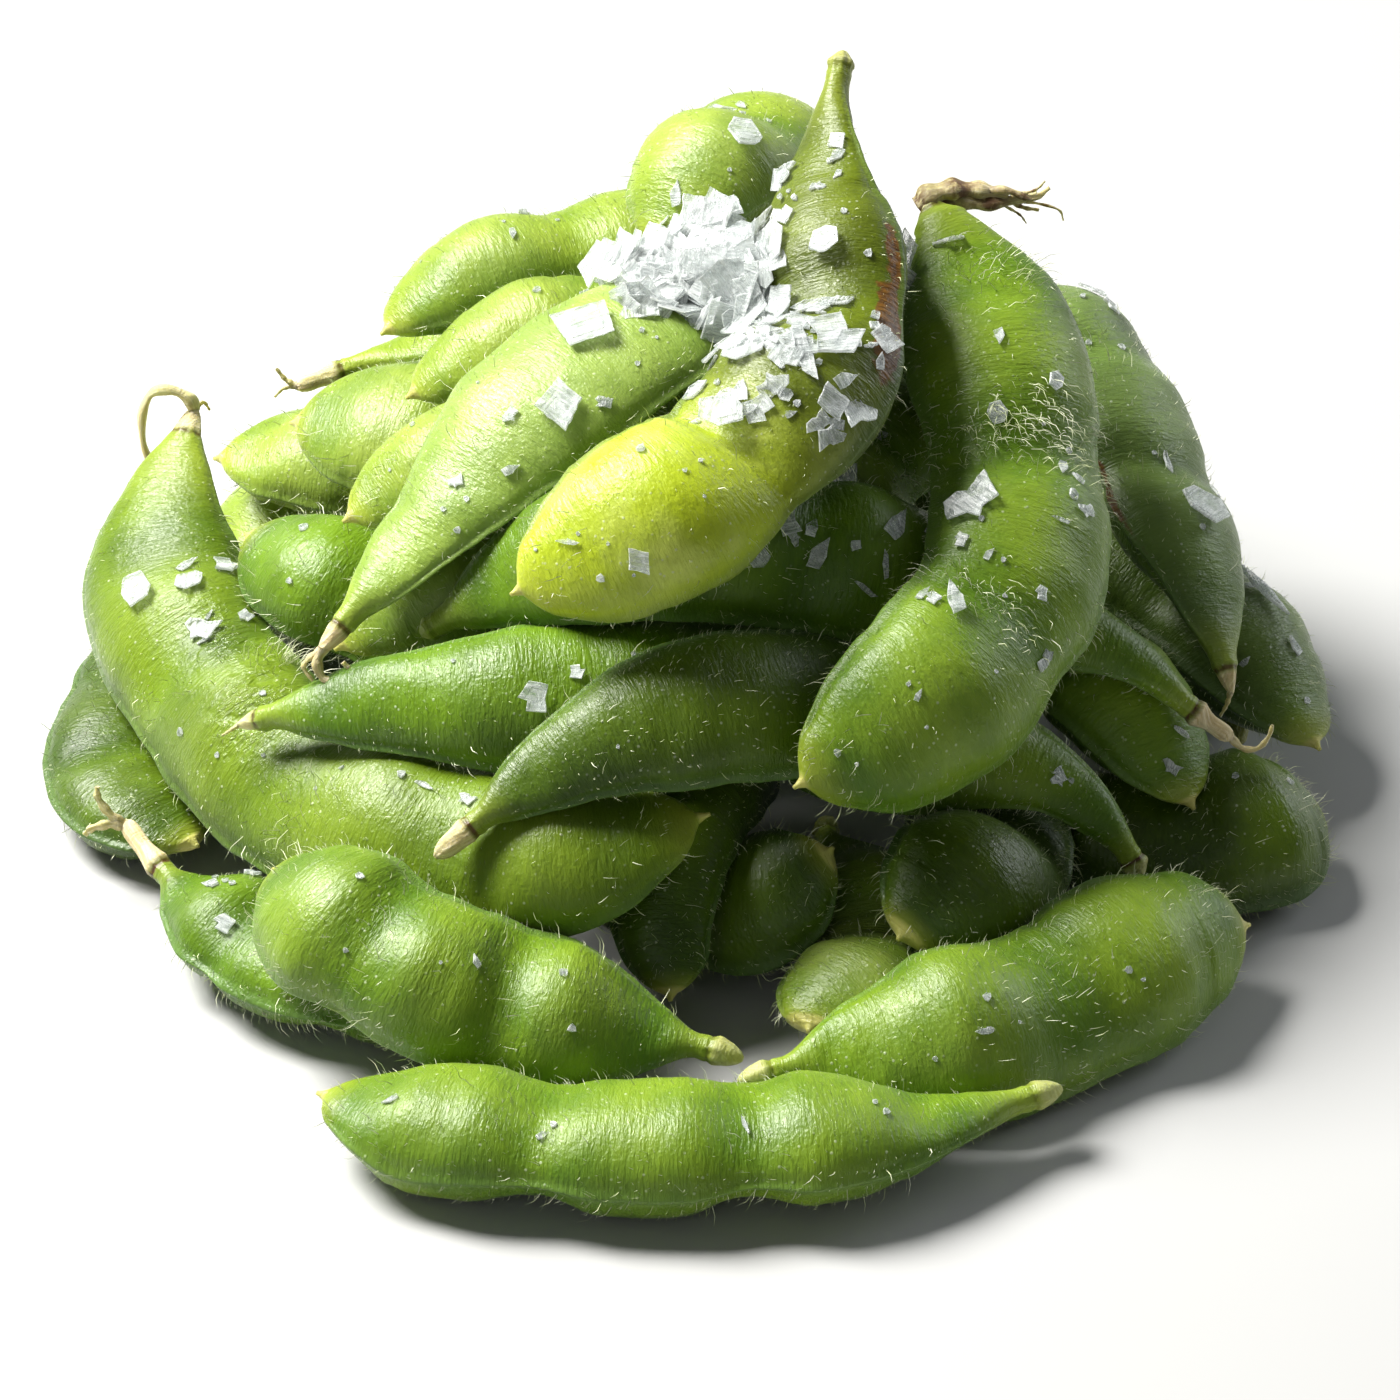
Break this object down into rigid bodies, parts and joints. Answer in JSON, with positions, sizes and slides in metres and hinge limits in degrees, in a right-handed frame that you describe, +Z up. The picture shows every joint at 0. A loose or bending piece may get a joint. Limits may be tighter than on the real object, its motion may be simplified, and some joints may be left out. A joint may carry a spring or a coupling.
{
  "type": "edamame pod bundle",
  "caption": "heap of loose cooked green edamame pods lying over one another with dried stalk stubs, fine hairs and coarse flaky sea salt on top",
  "frame": {"origin": "on the surface that the heap lies on, below the middle of the heap's outline", "axes": "+Z up; -Y is the heap's front, where the pods fan towards the viewer; +X is the heap's right seen from the front"},
  "size_m": [0.1044, 0.1206, 0.0562],
  "materials": {
    "pod": "satin, moist, finely hairy green skin",
    "lime_pod": "satin, moist, yellow-green skin",
    "salt": "translucent white crystal flakes"
  },
  "bodies": {
    "root": {"base_front": "pod", "base_front_inner": "pod", "base_front_left": "pod", "base_left": "pod", "base_right_side": "pod", "base_middle_back": "pod", "base_back": "pod", "base_far_back": "pod", "front_edge_left": "pod", "front_edge_right": "pod", "front_dark_bean": "pod", "front_dark_cross": "pod", "right_low_bean": "pod", "front_hanging": "pod", "left_inner_dark": "pod", "right_outer_dark": "pod", "core_left": "pod", "back_low_right": "pod", "back_low_left": "pod", "left_back_tip": "pod", "left_curve": "pod", "front_right_tail": "pod", "left_inner_green": "pod", "right_ridge": "pod", "front_left_inner": "pod", "front_pointing_left": "pod", "core_top_back": "pod", "right_pointing": "pod", "front_pointing_stem": "pod", "right_back_twist": "pod", "left_back_broad": "pod", "left_back_stem": "pod", "under_salted": "pod", "middle_front_broad": "pod", "left_fan_low": "pod", "right_inner_hairy": "pod", "left_fan_middle": "pod", "left_fan_top": "pod", "front_right": "pod", "top_back": "pod", "salted": "pod", "tall": "lime_pod", "salt_flake_01": "salt", "salt_flake_02": "salt", "salt_flake_03": "salt", "salt_flake_04": "salt", "salt_flake_05": "salt", "salt_flake_06": "salt", "salt_flake_07": "salt", "salt_flake_08": "salt", "salt_flake_09": "salt", "salt_flake_10": "salt", "salt_flake_11": "salt", "salt_flake_12": "salt", "salt_flake_13": "salt", "salt_flake_14": "salt"}
  },
  "joints": []
}
